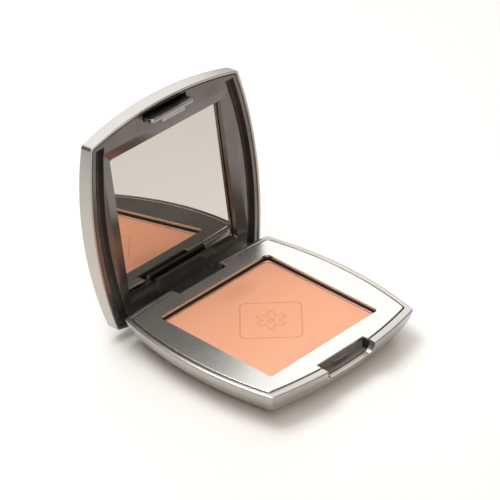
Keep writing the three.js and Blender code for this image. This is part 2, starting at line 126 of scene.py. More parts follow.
def closed_box(node):
    """The lowest and highest corner of a lid piece, as if the lid were closed."""
    closed = hinge_turn(CLOSING)
    points = [closed @ (vertex.co / MM) for vertex in frame["nodes"][node].data.vertices]
    corners = [Vector(pick(point[axis] for point in points) for axis in range(3)) for pick in (min, max)]
    return corners[0], corners[1]


shell_low, shell_high = box("base_shell")
deck_low = box("deck_plate")[0]
tray_high = box("inner_tray")[1]
pan_low, pan_high = box("powder_pan")
cake_low, cake_high = box("powder_cake")
catch_low, catch_high = box("latch_catch")
pin_low, pin_high = box("hinge_pin")
label_low, label_high = box("base_label")
lid_low, lid_high = closed_box("lid_shell")
glass_low, glass_high = closed_box("mirror_glass")
hook_low, hook_high = closed_box("lid_hook")
print("case", shell_high - shell_low, "lid", lid_high - lid_low, "mirror", glass_high - glass_low)

# %% [markdown]
# ## The outline of the case
# Seen from above, the case is a square whose sides bow outwards. Each side is one arc, so the
# outline at any inset is four arcs of smaller radius, and a small round joins each pair. Drawing
# it by formula means that the rim, the groove, the deck and the mirror surround are all exactly
# parallel, which is what makes the thin dark line between them even all the way round.

# %% Draw bowed squares
SPAN = 70
CORNER_ROUND = 1.5
SIDE_STEPS = 40
CORNER_STEPS = 8
HALF = SPAN / 2
SIDE_BOW = shell_high.x - HALF
FRONT_BOW = -shell_low.y - HALF
BASE_BOWS = (FRONT_BOW, SIDE_BOW, 1.7, SIDE_BOW)
LID_BOWS = (FRONT_BOW, SIDE_BOW, lid_high.y - HALF, SIDE_BOW)


def arc(centre, start, end, steps):
    """Points of an arc, the first included and the last left out."""
    first = math.atan2(start.y - centre.y, start.x - centre.x)
    last = math.atan2(end.y - centre.y, end.x - centre.x)
    sweep = (last - first + 3 * math.pi) % (2 * math.pi) - math.pi
    radius = (start - centre).length
    angles = [first + sweep * step / steps for step in range(steps)]
    return [centre + radius * Vector((math.cos(angle), math.sin(angle))) for angle in angles]


def side_arc(bows, side):
    """The centre and radius of one bowed side, and the corner that it starts from."""
    corners = [Vector(corner) for corner in ((-HALF, -HALF), (HALF, -HALF), (HALF, HALF), (-HALF, HALF))]
    start, end = corners[side], corners[(side + 1) % 4]
    radius = (HALF ** 2 + bows[side] ** 2) / (2 * bows[side])
    along = (end - start).normalized()
    inward = Vector((-along.y, along.x))
    return (start + end) / 2 + inward * (radius - bows[side]), radius, start


def crossing(centre_a, radius_a, centre_b, radius_b, near):
    """Where two circles cross, on the side of a given point."""
    between = centre_b - centre_a
    along = (between.length_squared + radius_a ** 2 - radius_b ** 2) / (2 * between.length)
    across_it = math.sqrt(radius_a ** 2 - along ** 2)
    unit = between.normalized()
    sideways = Vector((-unit.y, unit.x)) * across_it
    foot = centre_a + unit * along
    return min((foot + sideways, foot - sideways), key=lambda point: (point - near).length)


def outline(bows, insets):
    """The bowed square moved in by one inset, or by one for each side, counter-clockwise from above."""
    if not isinstance(insets, (list, tuple)):
        insets = [insets] * 4
    arcs = [side_arc(bows, side) for side in range(4)]
    reach = [arcs[side][1] - insets[side] for side in range(4)]
    rounds = [
        crossing(
            arcs[side - 1][0], reach[side - 1] - CORNER_ROUND, arcs[side][0], reach[side] - CORNER_ROUND,
            arcs[side][2],
        )
        for side in range(4)
    ]

    def touch(side, point):
        centre = arcs[side][0]
        return centre + (point - centre).normalized() * reach[side]

    points = []
    for side in range(4):
        following = (side + 1) % 4
        start, end = touch(side, rounds[side]), touch(side, rounds[following])
        points += arc(arcs[side][0], start, end, SIDE_STEPS)
        points += arc(rounds[following], end, touch(following, rounds[following]), CORNER_STEPS)
    return points


def rounded_rectangle(width, height, corner, middle=(0, 0)):
    """A rectangle with round corners, counter-clockwise."""
    x, y = width / 2 - corner, height / 2 - corner
    points = []
    for place, quarter in enumerate(((x, -y), (x, y), (-x, y), (-x, -y))):
        for step in range(CORNER_STEPS + 1):
            angle = math.radians(90 * (place - 1 + step / CORNER_STEPS))
            reach = corner * Vector((math.cos(angle), math.sin(angle)))
            points.append(Vector(quarter) + Vector(middle) + reach)
    return points


print("one outline has", len(outline(BASE_BOWS, 0)), "points")

# %% [markdown]
# ## Turning outlines into solids
# A solid here is a stack of rings with a face at each end, which bmesh makes directly. What isn't
# a stack of rings, such as a window cut through a wall, comes from a Boolean modifier. After the
# cuts, a Bevel modifier rounds every sharp edge a little: real edges are never quite sharp, and the
# thin bright line along them is what makes small metal and plastic things look real.

# %% Make, cut and soften solids
OVER = 2
SOFT_EDGE = 0.12
SHARP = math.radians(32)
SLIVER = 0.008


def as_object(name, mesh):
    """A bmesh as an object of the scene."""
    data = bpy.data.meshes.new(name)
    mesh.to_mesh(data)
    mesh.free()
    made = bpy.data.objects.new(name, data)
    bpy.context.scene.collection.objects.link(made)
    return made


def ring(points, height):
    """A flat outline lifted to one height, or to a height that depends on the place."""
    level = height if callable(height) else (lambda x, y: height)
    return [Vector((point.x, point.y, level(point.x, point.y))) for point in points]


def loft(name, rings):
    """A closed solid through rings of equal length."""
    mesh = bmesh.new()
    loops = [[mesh.verts.new(point) for point in points] for points in rings]
    for lower, upper in zip(loops, loops[1:]):
        for here in range(len(lower)):
            there = (here + 1) % len(lower)
            mesh.faces.new((lower[here], lower[there], upper[there], upper[here]))
    mesh.faces.new(loops[0][::-1])
    mesh.faces.new(loops[-1])
    return as_object(name, mesh)


def prism(name, points, low, high):
    return loft(name, [ring(points, low), ring(points, high)])


def block(name, xs, ys, zs):
    corners = [Vector((xs[0], ys[0])), Vector((xs[1], ys[0])), Vector((xs[1], ys[1])), Vector((xs[0], ys[1]))]
    return prism(name, corners, *zs)


def both(reach):
    return (-reach, reach)


def circle(radius, steps=64):
    angles = [2 * math.pi * step / steps for step in range(steps)]
    return [radius * Vector((math.cos(angle), math.sin(angle))) for angle in angles]


def rod(name, radius, xs):
    """A rod along X, centred on the hinge's axis."""
    made = prism(name, circle(radius), *xs)
    lie_down = Matrix.Rotation(math.radians(90), 4, "Y")
    made.data.transform(Matrix.Translation((0, PIVOT.y, PIVOT.z)) @ lie_down)
    return made


def upright_plate(name, points, ys):
    """An outline drawn in X and Z, given its thickness along Y."""
    made = prism(name, points, -ys[1], -ys[0])
    made.data.transform(Matrix.Rotation(math.radians(90), 4, "X"))
    return made


def applied(made):
    """Turns an object's modifiers into its mesh."""
    bpy.context.view_layer.update()
    shown = made.evaluated_get(bpy.context.evaluated_depsgraph_get())
    data = bpy.data.meshes.new_from_object(shown)
    made.modifiers.clear()
    made.data = data
    return made


def combine(made, operation, *tools):
    """Joins tools to an object, or cuts them from it."""
    for tool in tools:
        step = made.modifiers.new("combine", "BOOLEAN")
        step.operation = operation
        step.solver = "EXACT"
        step.object = tool
        applied(made)
        bpy.data.objects.remove(tool)
    return made


def merge_slivers(made):
    """Merges corners that lie almost in the same place, and closes what that leaves open."""
    mesh = bmesh.new()
    mesh.from_mesh(made.data)
    bmesh.ops.remove_doubles(mesh, verts=mesh.verts, dist=SLIVER)
    bmesh.ops.dissolve_degenerate(mesh, edges=mesh.edges, dist=SLIVER)
    bmesh.ops.holes_fill(mesh, edges=[edge for edge in mesh.edges if edge.is_boundary], sides=0)
    mesh.to_mesh(made.data)
    mesh.free()


def soften(made, width=SOFT_EDGE, segments=3):
    """Rounds every edge sharper than a gentle bend."""
    merge_slivers(made)
    step = made.modifiers.new("soften", "BEVEL")
    step.limit_method = "ANGLE"
    step.angle_limit = SHARP
    step.width = width
    step.segments = segments
    step.use_clamp_overlap = False
    applied(made)
    merge_slivers(made)
    return made


def settle(made, body, slot, finish, *nodes):
    """Scales a millimetre mesh to metres, smooths it, finishes it and hangs it on its body."""
    if body == "lid":
        made.data.transform(hinge_turn(-CLOSING))
    made.data.transform(Matrix.Scale(MM, 4))
    made.data.shade_smooth()
    made.data.set_sharp_from_angle(angle=math.radians(40))
    made.modifiers.new("even_shading", "WEIGHTED_NORMAL").keep_sharp = True
    applied(made)
    made.data.materials.clear()
    made.data.materials.append(finish)
    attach(made, body)
    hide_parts(*nodes)
    print(made.name, "has", len(made.data.polygons), "faces and rides on", body)
    return made


# %% [markdown]
# ## Writing finishes as sums
# Shader nodes are easier to read as a formula. A Wire holds one socket, and adding or multiplying
# wires adds the Math nodes that do it. A Finish is one material. Its node method makes any other
# node from its type, its settings and what its sockets receive. All finishes measure their
# pattern in millimetres on the object itself, so a pattern stays on its piece when the lid moves.

# %% Wires and finishes


class Wire:
    """One value of a finish, which can be written in a sum."""

    def __init__(self, finish, socket):
        self.finish = finish
        self.socket = socket

    def math(self, operation, first, second):
        return self.finish.node("Math", {"operation": operation}, {0: first, 1: second})

    def __add__(self, other):
        return self.math("ADD", self, other)

    def __radd__(self, other):
        return self.math("ADD", other, self)

    def __sub__(self, other):
        return self.math("SUBTRACT", self, other)

    def __rsub__(self, other):
        return self.math("SUBTRACT", other, self)

    def __mul__(self, other):
        return self.math("MULTIPLY", self, other)

    def __rmul__(self, other):
        return self.math("MULTIPLY", other, self)

    def __truediv__(self, other):
        return self.math("DIVIDE", self, other)

    def __pow__(self, other):
        return self.math("POWER", self, other)


class Finish:
    """One material, built round Blender's general-purpose shader."""

    def __init__(self, name, fixed):
        self.material = bpy.data.materials.new(name)
        self.material.use_nodes = True
        self.tree = self.material.node_tree
        self.shader = self.tree.nodes["Principled BSDF"]
        for socket, value in fixed.items():
            self.feed(self.shader.inputs[socket], value)

    def feed(self, socket, value):
        if isinstance(value, Wire):
            self.tree.links.new(value.socket, socket)
        elif isinstance(value, tuple) and socket.type == "RGBA":
            socket.default_value = (*value, 1)
        else:
            socket.default_value = value

    def node(self, kind, settings, sockets, result=0):
        made = self.tree.nodes.new("ShaderNode" + kind)
        for setting, value in settings.items():
            setattr(made, setting, value)
        for socket, value in sockets.items():
            self.feed(made.inputs[socket], value)
        return Wire(self, made.outputs[result])

    def place(self, stretch=(1, 1, 1)):
        """Where a point lies on the object, in millimetres."""
        at = self.node("TexCoord", {}, {}, "Object")
        in_mm = [size / MM for size in stretch]
        return self.node("VectorMath", {"operation": "MULTIPLY"}, {0: at, 1: in_mm})

    def axes(self):
        """The three coordinates of a point, in millimetres."""
        split = self.node("SeparateXYZ", {}, {0: self.place()})
        outputs = split.socket.node.outputs
        return [Wire(self, outputs[axis]) for axis in range(3)]

    def grain(self, per_mm, detail=3, roughness=0.5, stretch=(1, 1, 1)):
        """Cloudy noise, with so many clouds in a millimetre."""
        sockets = {"Vector": self.place(stretch), "Scale": per_mm, "Detail": detail, "Roughness": roughness}
        return self.node("TexNoise", {}, sockets, "Fac")

    def step(self, value, low, high):
        """A soft step from 0 at low to 1 at high."""
        sockets = {"Value": value, "From Min": low, "From Max": high}
        return self.node("MapRange", {"interpolation_type": "SMOOTHSTEP"}, sockets)

    def blend(self, share, first, second):
        """A colour between two colours."""
        return self.node("Mix", {"data_type": "RGBA"}, {0: share, 6: first, 7: second}, 2)

    def surface(self, **inputs):
        """Feeds the shader, with names such as base_color."""
        for name, value in inputs.items():
            self.feed(self.shader.inputs[name.replace("_", " ").title()], value)
        return self

    def relief(self, height, depth_mm, strength=1.0):
        """Lets a height pattern catch the light."""
        sockets = {"Height": height, "Distance": depth_mm * MM, "Strength": strength}
        return self.surface(normal=self.node("Bump", {}, sockets))


# %% [markdown]
# ### Silver case
# The case is plastic with a satin metal coating. Up close such a coating isn't even: tiny flakes
# make it sparkle, a finger leaves duller patches, and fine hairlines run across it. So the colour
# stays almost the same all over, and the roughness does most of the work.

# %% Silver finishes


def silver(name, tone, roughness):
    finish = Finish(name, {"Metallic": 0.92, "Coat Weight": 0.18, "Coat Roughness": 0.12})
    flakes = finish.grain(9, 2)
    patches = finish.grain(0.06, 4)
    hairlines = finish.grain(1.6, 2, 0.6, (0.12, 2.4, 1))
    bright = tuple(min(1, part * 1.02) for part in tone)
    dark = tuple(part * 0.97 for part in tone)
    finish.surface(base_color=finish.blend(flakes, dark, bright))
    dull = finish.step(patches, 0.45, 0.7)
    finish.surface(roughness=roughness + dull * 0.04 + (hairlines - 0.5) * 0.015)
    finish.relief(patches, 0.002, 0.2)
    return finish.material


# Painted shade: the case gets a darker tone than the deck, though both wear the same coating, standing in for
# the dark surroundings that its walls reflect.
shade_darkened_case_silver = silver("satin_silver_case_shaded", (0.5, 0.475, 0.445), 0.3)
deck_silver = silver("satin_silver_deck", (0.7, 0.68, 0.65), 0.27)
print("finishes:", shade_darkened_case_silver.name, deck_silver.name)

# %% [markdown]
# ### Dark mouldings
# The mirror surround is smoke-grey plastic with a metallic sheen, and the tray under the deck is
# plain black. Moulded plastic takes its texture from the steel mould: very fine, even pits.

# %% Dark finishes


def moulding(name, tone, metallic, roughness, coat):
    finish = Finish(name, {"Metallic": metallic, "Coat Weight": coat, "Coat Roughness": 0.15})
    pits = finish.grain(14, 2)
    sheen = finish.grain(0.09, 3)
    lighter = tuple(part * 1.3 for part in tone)
    finish.surface(base_color=finish.blend(finish.step(sheen, 0.3, 0.75), tone, lighter))
    finish.surface(roughness=roughness + (pits - 0.5) * 0.12 + (sheen - 0.5) * 0.1)
    finish.relief(pits, 0.006, 0.5)
    return finish.material


smoke = moulding("smoke_moulding", (0.135, 0.121, 0.112), 0.78, 0.2, 0.25)
black = moulding("black_moulding", (0.022, 0.019, 0.017), 0.0, 0.42, 0.0)
catch_dark = moulding("catch_moulding", (0.23, 0.21, 0.185), 0.45, 0.34, 0.2)
print("finishes:", smoke.name, black.name, catch_dark.name)

# %% [markdown]
# ### Bright metal
# The pan is pressed from thin aluminium, the hook is bright plated steel with a brushed face, and
# the springs and the hinge pin are drawn wire. Drawing and brushing leave lines in one
# direction, which a noise pattern stretched along that direction shows.

# %% Metal finishes


def metal(name, tone, roughness, stretch, depth):
    finish = Finish(name, {"Metallic": 1.0})
    lines = finish.grain(1, 3, 0.6, stretch)
    worn = finish.step(finish.grain(0.3, 3), 0.4, 0.75)
    duller = tuple(part * 0.8 for part in tone)
    finish.surface(base_color=finish.blend(worn * 0.5 + lines * 0.3, tone, duller))
    finish.surface(roughness=roughness + (lines - 0.5) * 0.14 + worn * 0.06)
    finish.relief(lines, depth, 0.6)
    return finish.material


pan_metal = metal("pan_aluminium", (0.72, 0.69, 0.65), 0.3, (3, 3, 0.6), 0.006)
chrome = metal("brushed_hook", (0.38, 0.37, 0.355), 0.2, (0.2, 9, 9), 0.004)
steel = metal("drawn_steel", (0.55, 0.54, 0.52), 0.26, (2, 9, 9), 0.004)
print("finishes:", pan_metal.name, chrome.name, steel.name)

# %% [markdown]
# ### Mirror
# A mirror is a perfect metal behind glass, and a perfect mirror looks fake. A real one has a
# breath of haze where a finger or the puff has touched it, so its roughness rises very slightly
# in cloudy patches, with a few specks of powder. Its tint is a warm grey, because all that it
# shows here is white paper, which would otherwise burn out.

# %% Mirror finish
mirror = Finish("mirror_silvering", {"Metallic": 1.0})
haze = mirror.step(mirror.grain(0.05, 5, 0.6), 0.5, 0.8)
specks = mirror.step(mirror.grain(2.2, 1), 0.74, 0.8)
mirror.surface(base_color=mirror.blend(haze * 0.4 + specks * 0.3, (0.64, 0.605, 0.56), (0.58, 0.54, 0.49)))
mirror.surface(roughness=0.012 + haze * 0.05 + specks * 0.2)
print("finish:", mirror.material.name)

# %% [markdown]
# ### Glue, tape and label
# These are hidden or underneath. The glue has set in a cloudy disc, the foam tape shows its cells,
# and the label is a plain film with a thin printed ring and no words.

# %% Plain finishes


def soft_finish(name, first, second, roughness, per_mm, depth):
    """A dull finish with a cloudy colour, and that colour on its own."""
    finish = Finish(name, {"Specular IOR Level": 0.35})
    cells = finish.grain(per_mm, 4)
    colour = finish.blend(cells, first, second)
    finish.surface(base_color=colour)
    finish.surface(roughness=roughness + (cells - 0.5) * 0.2)
    return finish.relief(cells, depth, 0.8), colour


glue, _ = soft_finish("set_adhesive", (0.78, 0.74, 0.62), (0.9, 0.87, 0.78), 0.45, 0.8, 0.05)
adhesive = glue.material
LABEL_MIDDLE = (label_low + label_high) / 2
LABEL_RADIUS = (label_high.x - label_low.x) / 2
label, film = soft_finish("label_film", (0.74, 0.73, 0.71), (0.8, 0.79, 0.77), 0.4, 6, 0.004)
label_x, label_y, _ = label.axes()
from_middle = ((label_x - LABEL_MIDDLE.x) ** 2 + (label_y - LABEL_MIDDLE.y) ** 2) ** 0.5
printed = label.step(from_middle, LABEL_RADIUS * 0.86, LABEL_RADIUS * 0.875)
printed = printed * (1 - label.step(from_middle, LABEL_RADIUS * 0.9, LABEL_RADIUS * 0.915))
label.surface(base_color=label.blend(printed, film, (0.25, 0.24, 0.23)))
print("finishes:", adhesive.name, label.material.name)

# %% [markdown]
# ### Pressed powder
# Pressed powder scatters light in all directions, so it has no gloss at all. Its grains are far
# smaller than a millimetre, and its colour drifts across the cake. The open lid's light and shade are
# painted on it too: painted light makes it lighter towards the front, and painted shade makes a rosy
# brown patch near the hinge. The stamp's lines hold a little shadow, which
# comes from a value that the cake's mesh carries at each point.

# %% Powder finish
STAMP = "stamp"
powder = Finish("pressed_powder", {"Roughness": 0.95, "Specular IOR Level": 0.12, "Sheen Weight": 0.12})
powder_x, powder_y, _ = powder.axes()
fine = powder.grain(7, 4, 0.65)
drift = powder.grain(0.035, 3)
# Painted shade: a rosy brown patch near the hinge, where the open lid shades the powder.
lid_shade_reach = ((powder_x - 5) ** 2 / 100 + (powder_y - 20) ** 2 / 25) ** 0.5
lid_shade = (1 - powder.step(lid_shade_reach, 0.2, 1.25)) * (0.55 + powder.grain(0.12, 3) * 0.6)
# Painted light: the powder grows lighter towards the front, away from the lid's shade.
lit_towards_front = powder.step(powder_y * -0.7 - powder_x * 0.3 + drift * 20, 8, 42)
body_colour = powder.blend(drift, (0.79, 0.36, 0.225), (0.82, 0.4, 0.255))
body_colour = powder.blend(lit_towards_front * 0.5, body_colour, (0.88, 0.5, 0.33))
body_colour = powder.blend(lid_shade * 0.5, body_colour, (0.62, 0.28, 0.17))
body_colour = powder.blend(fine * 0.14, body_colour, (0.66, 0.31, 0.19))
line = powder.node("Attribute", {"attribute_name": STAMP}, {}, "Fac")
powder.surface(base_color=powder.blend(line * 0.55, body_colour, (0.45, 0.2, 0.125)))
powder.relief(fine * 0.7 + powder.grain(2.2, 3) * 0.5, 0.035, 0.55)
print("finish:", powder.material.name)

# %% [markdown]
# ## The base shell
# The base is a shallow cup. Its sides draw in under the rim in a quarter of a circle, so it seems
# to float above the table. A loft is the natural way to make it: rings go up the outside, over
# the slightly crowned rim, down into the seat that carries the tray, and down the inside.

# %% Loft the base shell
DECK = shell_high.z
FITTED = 0.3
GAP = 0.15
UNDERCUT = 10
SLOPE = 2.4
UNDERCUT_STEPS = 18
FRONT_RIM = 3.2
SIDE_RIM = 2
RIMS = (FRONT_RIM, SIDE_RIM, SIDE_RIM, SIDE_RIM)
RIM_ROUND = 0.5
RIM_CROWN = 0.12
SEAT_WIDTH = 1.6
SHELL_WALL = 1.5
SHELL_FLOOR = 1.4
SHELL_BEND = 5
FLANGE = 1.2
SEAT = tray_high.z - FLANGE - GAP


def draw_in(depth):
    """How far the side has drawn in at a depth below the rim."""
    share = min(1, depth / DECK)
    return SLOPE * share + (UNDERCUT - SLOPE) * (1 - math.sqrt(1 - share ** 2))


def wider(widths, extra):
    return [width + extra for width in widths]


def shell_outside():
    rings = []
    for step in range(UNDERCUT_STEPS):
        depth = DECK * math.cos(math.pi / 2 * step / UNDERCUT_STEPS)
        rings.append(ring(outline(BASE_BOWS, draw_in(depth)), DECK - depth))
    side = draw_in(RIM_ROUND)
    for step in range(5):
        angle = math.pi / 2 * step / 4
        inset = side + RIM_ROUND * (1 - math.cos(angle))
        drop = RIM_CROWN + (RIM_ROUND - RIM_CROWN) * (1 - math.sin(angle))
        rings.append(ring(outline(BASE_BOWS, inset), DECK - drop))
    return rings


def shell_rim():
    outside = draw_in(RIM_ROUND) + RIM_ROUND
    rings = []
    for step in range(1, 6):
        share = step / 6
        insets = [outside + (width - FITTED - outside) * share for width in RIMS]
        crown = RIM_CROWN * (1 - (2 * share - 1) ** 2)
        rings.append(ring(outline(BASE_BOWS, insets), DECK - RIM_CROWN + crown))
    return rings


def shell_inside():
    wall = [[max(seat, draw_in(DECK - height) + SHELL_WALL) for seat in wider(RIMS, SEAT_WIDTH)]
            for height in (SHELL_BEND, SHELL_FLOOR)]
    return [
        ring(outline(BASE_BOWS, wider(RIMS, -FITTED / 2)), DECK - RIM_CROWN),
        ring(outline(BASE_BOWS, RIMS), DECK - RIM_CROWN - FITTED / 2),
        ring(outline(BASE_BOWS, RIMS), SEAT),
        ring(outline(BASE_BOWS, wider(RIMS, SEAT_WIDTH)), SEAT),
        ring(outline(BASE_BOWS, wall[0]), SHELL_BEND),
        ring(outline(BASE_BOWS, wall[1]), SHELL_FLOOR),
    ]


shell = loft("base_cup", shell_outside() + shell_rim() + shell_inside())
print("the cup stands", round(shell.dimensions.z, 2), "mm high")

# %% [markdown]
# Three things break the cup's outline. At the rear, everything further from the hinge's axis than
# the deck is cut away, because the lid's edge swings past there. In the middle of the rear a notch
# takes the hinge, and two ears beside it hold the pin. At the front a window with round lower
# corners and a pocket behind it take the latch.

# %% Cut the hinge notch and the latch window
SWING = 0.4
EAR_WIDTH = 4
PIN_GRIP = 3.6
NOTCH_HALF = pin_high.x - PIN_GRIP
PIN_RADIUS = (pin_high.z - pin_low.z) / 2
KNUCKLE = 3
WEB_FRONT = 1.7
WEB_REAR = 2.4
BORE = PIN_RADIUS + FITTED
PIVOT_DROP = DECK - PIVOT.z
BASE_REAR = HALF + BASE_BOWS[2]
WINDOW_HALF = catch_high.x + FITTED
LEDGE = 8.1
WINDOW_ROUND = 2.6
CHEEK = 1.2
CATCH_TRAVEL = catch_slide["range_m"][1] / MM
CATCH_WALL = 1.2
POCKET_REAR = catch_high.y + CATCH_TRAVEL + FITTED
POCKET_FLOOR = catch_low.z - FITTED
CATCH_FACE = catch_high.y - CATCH_WALL
LABEL_RECESS = 0.4


def rear_edge_cutter():
    corner = block(
        "corner", both(SPAN), (PIVOT.y, PIVOT.y + 2 * PIVOT_DROP), (PIVOT.z, DECK + OVER),
    )
    return combine(corner, "DIFFERENCE", rod("swing", PIVOT_DROP, both(SPAN + OVER)))


def hinge_notch_cutter(low, front):
    under = block("under", both(NOTCH_HALF), (front, BASE_REAR + OVER), (low, SEAT + OVER))
    above = block("above", both(NOTCH_HALF), (PIVOT.y, BASE_REAR + OVER), (SEAT, DECK + OVER))
    return combine(under, "UNION", above)


def latch_pocket_cutter():
    inside = prism("inside", outline(BASE_BOWS, RIMS), POCKET_FLOOR, DECK + OVER)
    reach = WINDOW_HALF + CHEEK + FITTED
    span = block("span", both(reach), (shell_low.y, POCKET_REAR), (POCKET_FLOOR, DECK + OVER))
    return combine(inside, "INTERSECT", span)


def envelope():
    return loft("envelope", shell_outside() + shell_rim())


def window_cutter():
    height = 2 * (DECK - LEDGE)
    shape = rounded_rectangle(2 * WINDOW_HALF, height, WINDOW_ROUND, (0, DECK))
    return upright_plate("window", shape, (shell_low.y - OVER, CATCH_FACE))


ear_front = PIVOT.y - KNUCKLE - SWING
for side in (-1, 1):
    xs = sorted((side * NOTCH_HALF, side * (NOTCH_HALF + EAR_WIDTH)))
    ear = combine(block("ear", xs, (ear_front, HALF), (0, SEAT)), "INTERSECT", envelope())
    combine(shell, "UNION", ear)
shelf = block("shelf", both(WINDOW_HALF), (shell_low.y, catch_high.y), (0, POCKET_FLOOR))
combine(shell, "UNION", combine(shelf, "INTERSECT", envelope()))
label_pocket = prism(
    "label_pocket",
    [point + LABEL_MIDDLE.xy for point in circle(LABEL_RADIUS + FITTED)],
    -OVER,
    LABEL_RECESS,
)
combine(
    shell,
    "DIFFERENCE",
    rear_edge_cutter(),
    hinge_notch_cutter(PIVOT.z - KNUCKLE - SWING, ear_front),
    latch_pocket_cutter(),
    window_cutter(),
    rod("bore", BORE, both(pin_high.x + FITTED)),
    label_pocket,
)
soften(shell)
settle(shell, "base", "silver_shell", shade_darkened_case_silver, "base_shell")

# %% [markdown]
# ## The deck
# The deck is a thin plate set into the rim with a narrow groove round it. It carries the square
# opening for the pan. Its outer edge is chamfered: that chamfer catches the light next to
# the dark groove. It is drawn as a prism with one more ring for the chamfer, and then cut.

# %% Make the deck
GROOVE = 0.35
DECK_CHAMFER = 0.22
PAN_OPENING = 2 * (pan_high.x + FITTED)
OPENING_ROUND = 1.5
FLANGE_ABOVE_PIVOT = SEAT + GAP - PIVOT.z
NOTCH_FRONT = PIVOT.y - max(math.sqrt(KNUCKLE ** 2 - FLANGE_ABOVE_PIVOT ** 2), WEB_FRONT) - SWING

deck_edge = wider(RIMS, GROOVE)
deck = loft("deck", [
    ring(outline(BASE_BOWS, deck_edge), deck_low.z),
    ring(outline(BASE_BOWS, deck_edge), DECK - DECK_CHAMFER),
    ring(outline(BASE_BOWS, wider(deck_edge, DECK_CHAMFER)), DECK),
])
opening = prism(
    "opening",
    rounded_rectangle(PAN_OPENING, PAN_OPENING, OPENING_ROUND),
    deck_low.z - OVER,
    DECK + OVER,
)
latch_notch = block("latch_notch", both(WINDOW_HALF), (shell_low.y, CATCH_FACE), (SEAT, DECK + OVER))
hinge_notch = block("hinge_notch", both(NOTCH_HALF), (NOTCH_FRONT, BASE_REAR + OVER), (SEAT, DECK + OVER))
combine(deck, "DIFFERENCE", opening, rear_edge_cutter(), hinge_notch, latch_notch)
soften(deck, 0.1)
settle(deck, "base", "silver_deck", deck_silver, "deck_plate")

# %% [markdown]
# ## The pan and the powder
# The pan is a shallow aluminium dish. Its edge shows as a fine bright line round the powder, so it
# gets a rounded lip. It stands a little below the deck, and the dark well shows beyond it.

# %% Make the pan
PAN_WALL = 0.4
POWDER_ROUND = 2


def pan_ring(inset, height):
    size = 2 * (pan_high.x - inset)
    return ring(rounded_rectangle(size, size, POWDER_ROUND + PAN_WALL - inset), height)


lip = PAN_WALL / 2
lip_rings = []
for step in range(7):
    angle = math.pi * step / 6
    lip_rings.append(pan_ring(lip - lip * math.cos(angle), pan_high.z - lip + lip * math.sin(angle)))
pan = loft("powder_dish", [pan_ring(lip, pan_low.z), pan_ring(0, pan_low.z + lip)] + lip_rings + [
    pan_ring(PAN_WALL, pan_low.z + PAN_WALL),
])
settle(pan, "base", "pan_metal", pan_metal, "powder_pan")

# %% [markdown]
# The powder's face is a grid, because a stamp has to be pressed into it: a rounded square, turned
# by an eighth of a turn, with a plain rosette inside. Each point of the grid sinks by how
# near it lies to one of those lines. The grid is fine under the stamp and coarse elsewhere, and
# the same nearness is kept on the mesh as a value for the finish to read.

# %% Press the powder
CAKE_HALF = cake_high.x
CAKE_EASE = 0.35
STAMP_MIDDLE = Vector((0, -0.9))
STAMP_HALF = 10.6
STAMP_ROUND = 2.2
STAMP_REACH = 17
LINE_WIDTH = 0.24
LINE_DEPTH = 0.16
PETALS = 6
PETAL_RADIUS = 4.2
PETAL_SWELL = 1.3
FINE_STEP = 0.17
COARSE_STEP = 0.8


def frame_distance(u, v):
    """How far a place is from the rounded square's line."""
    x, y = abs(u) - (STAMP_HALF - STAMP_ROUND), abs(v) - (STAMP_HALF - STAMP_ROUND)
    outside = math.hypot(max(x, 0), max(y, 0))
    return abs(outside + min(max(x, y), 0) - STAMP_ROUND)


def rosette_distance(u, v):
    """How far a place is from the rosette's line or from the ring at its heart."""
    radius, angle = math.hypot(u, v), math.atan2(v, u)
    edge = PETAL_RADIUS + PETAL_SWELL * math.cos(PETALS * angle)
    lean = PETALS * PETAL_SWELL * math.sin(PETALS * angle) / max(edge, 1)
    return min(abs(radius - edge) / math.hypot(1, lean), abs(radius - PETAL_RADIUS / 4))


def pressed(x, y):
    """How deep the stamp is at a place, from 0 to 1."""
    from_stamp = Vector((x, y)) - STAMP_MIDDLE
    u, v = (from_stamp.x + from_stamp.y) / math.sqrt(2), (from_stamp.y - from_stamp.x) / math.sqrt(2)
    border = math.exp(-(frame_distance(u, v) / LINE_WIDTH) ** 2)
    motif = 0.75 * math.exp(-(rosette_distance(u, v) / LINE_WIDTH) ** 2)
    return max(border, motif)


def grid_places():
    """Positions of the grid's lines along one side, close together under the stamp."""
    fine_half = STAMP_REACH
    places = [-fine_half + FINE_STEP * step for step in range(int(2 * fine_half / FINE_STEP) + 1)]
    outer = CAKE_HALF - CAKE_EASE
    count = round((outer - fine_half) / COARSE_STEP)
    right = [places[-1] + (outer - places[-1]) * step / count for step in range(1, count + 1)]
    left = [places[0] - (outer + places[0]) * step / count for step in range(count, 0, -1)]
    return left + places + right


def cake_height(x, y):
    waver = noise.noise(Vector((x, y, 0)) * 0.09) * 0.05 + noise.noise(Vector((x, y, 9)) * 0.6) * 0.012
    return cake_high.z - 0.05 + waver - LINE_DEPTH * pressed(x, y)


def squared_in(x, y, corner):
    """Moves a grid corner onto the round corner of the cake."""
    limit = CAKE_HALF - CAKE_EASE - corner
    over_x, over_y = max(abs(x) - limit, 0), max(abs(y) - limit, 0)
    if over_x and over_y:
        share = max(over_x, over_y) / math.hypot(over_x, over_y)
        x = math.copysign(limit + over_x * share, x)
        y = math.copysign(limit + over_y * share, y)
    return x, y


